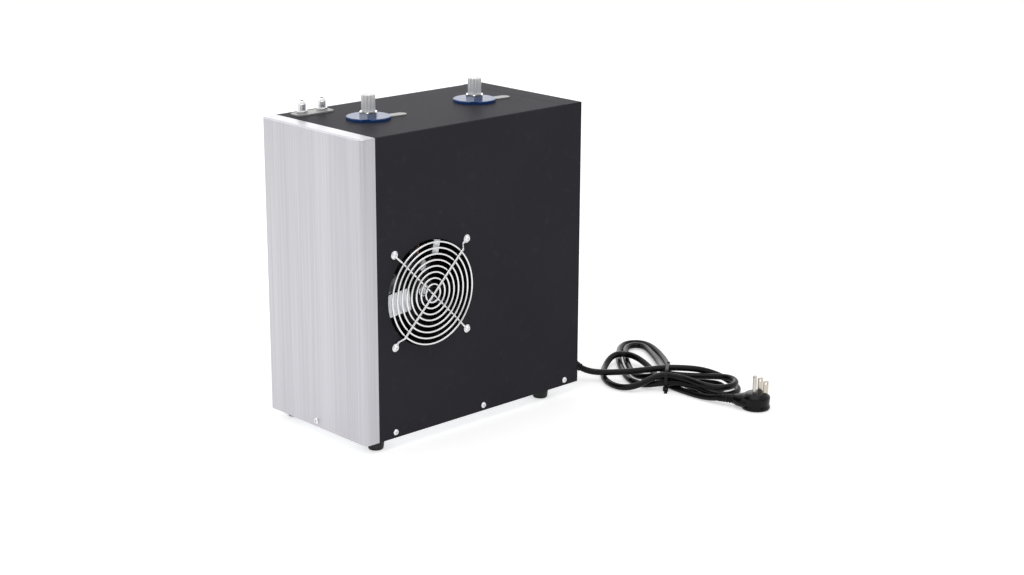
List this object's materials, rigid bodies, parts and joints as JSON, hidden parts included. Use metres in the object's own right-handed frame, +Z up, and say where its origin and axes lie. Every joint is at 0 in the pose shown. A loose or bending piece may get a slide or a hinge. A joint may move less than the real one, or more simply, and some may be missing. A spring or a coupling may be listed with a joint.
{
  "type": "water chiller",
  "caption": "Upright laboratory water chiller: brushed steel front, black cabinet, round fan guard, capped water ports on top, mains cord hanked beside it.",
  "frame": {"origin": "centre of the cabinet's box on the surface it stands on, without its cord", "axes": "+Z up, the steel front faces -Y, the fan faces +X"},
  "size_m": [0.3816, 0.5179, 0.3818],
  "materials": {
    "front_steel": "brushed",
    "black_paint": "fine texture",
    "zinc_steel": "satin",
    "bright_metal": "polished",
    "black_plastic": "matte",
    "fin_aluminium": "satin",
    "copper": "satin",
    "bronze": "satin",
    "blue_plastic": "gloss",
    "pale_plastic": "satin",
    "white_cap": "satin",
    "tank_steel": "satin",
    "foam": "matte",
    "shell_paint": "gloss",
    "rubber": "matte",
    "cord_black": "gloss",
    "pin_brass": "polished"
  },
  "bodies": {
    "chassis": {"front_panel": "front_steel", "cabinet_cover": "black_paint", "rear_panel": "black_paint", "base_pan": "zinc_steel", "front_rail": "zinc_steel", "rear_rail": "zinc_steel", "guard_clips": "zinc_steel", "fan_bracket": "zinc_steel", "condenser_end_plates": "zinc_steel", "foam_straps": "zinc_steel", "motor_stator": "zinc_steel", "motor_bells": "zinc_steel", "foot_screws": "bright_metal", "cabinet_screws": "bright_metal", "guard_screws": "bright_metal", "fan_guard": "bright_metal", "port_nuts": "bright_metal", "service_fitting_front": "bright_metal", "service_fitting_rear": "bright_metal", "service_nuts": "bright_metal", "compressor_bolts": "bright_metal", "fan_shroud": "black_plastic", "start_relay": "black_plastic", "thermostat": "black_plastic", "terminal_block": "black_plastic", "cord_gland": "black_plastic", "condenser_fins": "fin_aluminium", "condenser_tube": "copper", "evaporator_coil": "copper", "suction_line": "copper", "discharge_line": "copper", "filter_drier": "copper", "capillary_tube": "copper", "service_lines": "copper", "thermostat_sensor": "copper", "motor_bearings": "bronze", "port_disc_front": "blue_plastic", "port_disc_rear": "blue_plastic", "port_tab_front": "pale_plastic", "port_tab_rear": "pale_plastic", "service_plate": "pale_plastic", "water_tank": "tank_steel", "foam_lower": "foam", "foam_upper": "foam", "compressor": "shell_paint", "rubber_feet": "rubber", "compressor_grommets": "rubber", "port_seals": "rubber", "wiring_loom": "cord_black", "cord_lead": "cord_black", "cord_hank": "cord_black", "cord_tie": "cord_black", "cord_tail": "cord_black", "plug_body": "cord_black", "plug_pins": "pin_brass"},
    "fan_rotor": {"motor_rotor": "zinc_steel", "fan_shaft": "zinc_steel", "fan_impeller": "black_plastic"},
    "cap_front": {"port_cap_front": "white_cap"},
    "cap_rear": {"port_cap_rear": "white_cap"}
  },
  "joints": [
    {"name": "fan_spin", "type": "hinge", "parent": "chassis", "child": "fan_rotor", "pos_m": [0.06275, -0.0695, 0.17], "axis": [1, 0, 0], "continuous": true},
    {"name": "cap_front_pull", "type": "slide", "parent": "chassis", "child": "cap_front", "axis": [0, 0, 1], "range_m": [0, 0.02]},
    {"name": "cap_rear_pull", "type": "slide", "parent": "chassis", "child": "cap_rear", "axis": [0, 0, 1], "range_m": [0, 0.02]}
  ]
}
